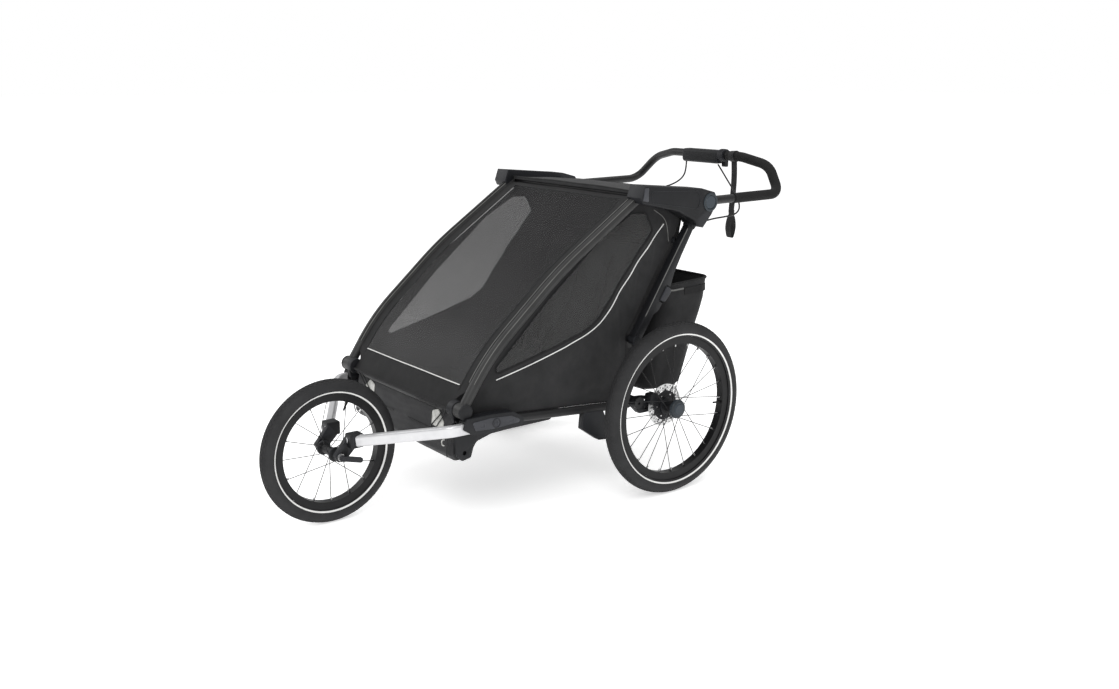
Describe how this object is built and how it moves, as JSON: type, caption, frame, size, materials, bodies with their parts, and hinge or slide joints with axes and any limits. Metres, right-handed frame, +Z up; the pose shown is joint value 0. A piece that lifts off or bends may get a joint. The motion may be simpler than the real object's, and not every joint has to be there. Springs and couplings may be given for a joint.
{
  "type": "child bicycle trailer",
  "caption": "Child bicycle trailer for two, with spoked rear wheels, disc brakes, folding cabin, rear basket, tilting handlebar and a jogging wheel on two front arms.",
  "frame": {"origin": "centre of the overall footprint, on the ground", "axes": "+Z up, the front and its small wheel face -Y, +X is the trailer's left side"},
  "size_m": [0.803, 1.6015, 0.945],
  "materials": {
    "frame": "satin dark coating",
    "silver": "satin anodised",
    "steel": "brushed",
    "black_plastic": "moulded, fine texture",
    "grey_plastic": "moulded, fine texture",
    "cap": "satin",
    "fabric_dark": "coated woven polyester",
    "fabric_grey": "woven polyester",
    "cover": "tinted clear sheet with fabric border",
    "window": "tinted flexible film",
    "padding": "padded fabric",
    "webbing": "woven webbing",
    "tyre": "rubber",
    "rim": "black anodised",
    "foam": "closed-cell foam",
    "cable": "smooth"
  },
  "bodies": {
    "chassis": {"side_rails": "frame", "crossbars": "frame", "corner_joints": "black_plastic", "connectors": "grey_plastic", "floor_brackets": "grey_plastic", "rear_posts": "frame", "floor_tub": "fabric_grey", "seat_base": "black_plastic", "seat_pad": "padding", "backrest": "padding", "harness": "webbing", "side_panel_left": "fabric_dark", "side_panel_right": "fabric_dark", "side_windows": "window", "back_panel": "fabric_dark", "basket": "fabric_grey"},
    "upper_frame": {"front_pillars": "frame", "roof_bows": "frame", "front_cover": "cover", "roof_panel": "fabric_dark", "top_bracket_left": "black_plastic", "top_bracket_right": "black_plastic"},
    "rear_frame": {"rear_pillars": "frame"},
    "handlebar": {"handlebar_tube": "frame", "handlebar_grips": "foam", "brake_console": "black_plastic", "wrist_strap": "webbing", "brake_cables": "cable"},
    "brake_lever": {"brake_lever": "black_plastic"},
    "jog_fork": {"jog_arms": "silver", "hub_brackets": "black_plastic", "front_axle": "steel"},
    "quick_release": {"quick_release_lever": "grey_plastic"},
    "front_wheel": {"front_tyre": "tyre", "front_rim": "rim", "front_spokes": "steel", "front_hub": "rim"},
    "suspension_left": {"suspension_arm_left": "frame", "brake_caliper_left": "black_plastic"},
    "wheel_left": {"tyre_left": "tyre", "rim_left": "rim", "spokes_left": "steel", "hub_left": "rim", "brake_disc_left": "steel"},
    "hub_button_left": {"hub_button_left": "cap"},
    "adjust_button_left": {"adjust_button_left": "cap"},
    "connector_button_left": {"connector_button_left": "black_plastic"},
    "latch_left": {"latch_lever_left": "grey_plastic"},
    "suspension_right": {"suspension_arm_right": "frame", "brake_caliper_right": "black_plastic"},
    "wheel_right": {"tyre_right": "tyre", "rim_right": "rim", "spokes_right": "steel", "hub_right": "rim", "brake_disc_right": "steel"},
    "hub_button_right": {"hub_button_right": "cap"},
    "adjust_button_right": {"adjust_button_right": "cap"},
    "connector_button_right": {"connector_button_right": "black_plastic"},
    "latch_right": {"latch_lever_right": "grey_plastic"}
  },
  "joints": [
    {"name": "fold", "type": "hinge", "parent": "chassis", "child": "upper_frame", "pos_m": [0, -0.375, 0.341], "axis": [-1, 0, 0], "range_deg": [0, 28], "deforming": ["side_panel_left", "side_panel_right", "side_windows", "back_panel", "basket", "backrest", "harness"]},
    {"name": "rear_strut", "type": "hinge", "parent": "upper_frame", "child": "rear_frame", "pos_m": [0, 0.409, 0.758], "axis": [-1, 0, 0], "range_deg": [0, 28]},
    {"name": "handlebar_tilt", "type": "hinge", "parent": "upper_frame", "child": "handlebar", "pos_m": [0, 0.444, 0.823], "axis": [1, 0, 0], "range_deg": [-30, 30], "deforming": ["brake_cables"]},
    {"name": "brake_lever_pull", "type": "hinge", "parent": "handlebar", "child": "brake_lever", "pos_m": [0.0728, 0.773, 0.925], "axis": [1, 0, 0], "range_deg": [0, 30], "stiffness_Nm_per_rad": 2},
    {"name": "jog_fork_slide", "type": "slide", "parent": "chassis", "child": "jog_fork", "axis": [0, -1, 0], "range_m": [0, 0.1]},
    {"name": "front_wheel_spin", "type": "hinge", "parent": "jog_fork", "child": "front_wheel", "pos_m": [0, -0.602, 0.198], "axis": [1, 0, 0], "continuous": true},
    {"name": "quick_release_open", "type": "hinge", "parent": "jog_fork", "child": "quick_release", "pos_m": [0.078, -0.602, 0.198], "axis": [0, -0.259, -0.9659], "range_deg": [0, 150]},
    {"name": "suspension_left", "type": "hinge", "parent": "chassis", "child": "suspension_left", "pos_m": [0.312, 0.205, 0.268], "axis": [1, 0, 0], "range_deg": [-4, 6], "stiffness_Nm_per_rad": 400, "springref_deg": -0.69},
    {"name": "wheel_spin_left", "type": "hinge", "parent": "suspension_left", "child": "wheel_left", "pos_m": [0.375, 0.295, 0.25], "axis": [1, 0, 0], "continuous": true},
    {"name": "hub_button_left", "type": "slide", "parent": "wheel_left", "child": "hub_button_left", "axis": [-1, 0, 0], "range_m": [0, 0.003], "stiffness_N_per_m": 800},
    {"name": "adjust_button_left", "type": "slide", "parent": "upper_frame", "child": "adjust_button_left", "axis": [-1, 0, 0], "range_m": [0, 0.003], "stiffness_N_per_m": 800},
    {"name": "connector_button_left", "type": "slide", "parent": "chassis", "child": "connector_button_left", "axis": [-1, 0, 0], "range_m": [0, 0.003], "stiffness_N_per_m": 800},
    {"name": "latch_left", "type": "hinge", "parent": "rear_frame", "child": "latch_left", "pos_m": [0.304, 0.31636, 0.58444], "axis": [1, 0, 0], "range_deg": [0, 15], "stiffness_Nm_per_rad": 1},
    {"name": "suspension_right", "type": "hinge", "parent": "chassis", "child": "suspension_right", "pos_m": [-0.312, 0.205, 0.268], "axis": [1, 0, 0], "range_deg": [-4, 6], "stiffness_Nm_per_rad": 400, "springref_deg": -0.69},
    {"name": "wheel_spin_right", "type": "hinge", "parent": "suspension_right", "child": "wheel_right", "pos_m": [-0.375, 0.295, 0.25], "axis": [1, 0, 0], "continuous": true},
    {"name": "hub_button_right", "type": "slide", "parent": "wheel_right", "child": "hub_button_right", "axis": [1, 0, 0], "range_m": [0, 0.003], "stiffness_N_per_m": 800},
    {"name": "adjust_button_right", "type": "slide", "parent": "upper_frame", "child": "adjust_button_right", "axis": [1, 0, 0], "range_m": [0, 0.003], "stiffness_N_per_m": 800},
    {"name": "connector_button_right", "type": "slide", "parent": "chassis", "child": "connector_button_right", "axis": [1, 0, 0], "range_m": [0, 0.003], "stiffness_N_per_m": 800},
    {"name": "latch_right", "type": "hinge", "parent": "rear_frame", "child": "latch_right", "pos_m": [-0.304, 0.31636, 0.58444], "axis": [1, 0, 0], "range_deg": [0, 15], "stiffness_Nm_per_rad": 1}
  ],
  "couplings": [
    {"joint": "rear_strut", "follows": "fold", "ratio": 1}
  ]
}
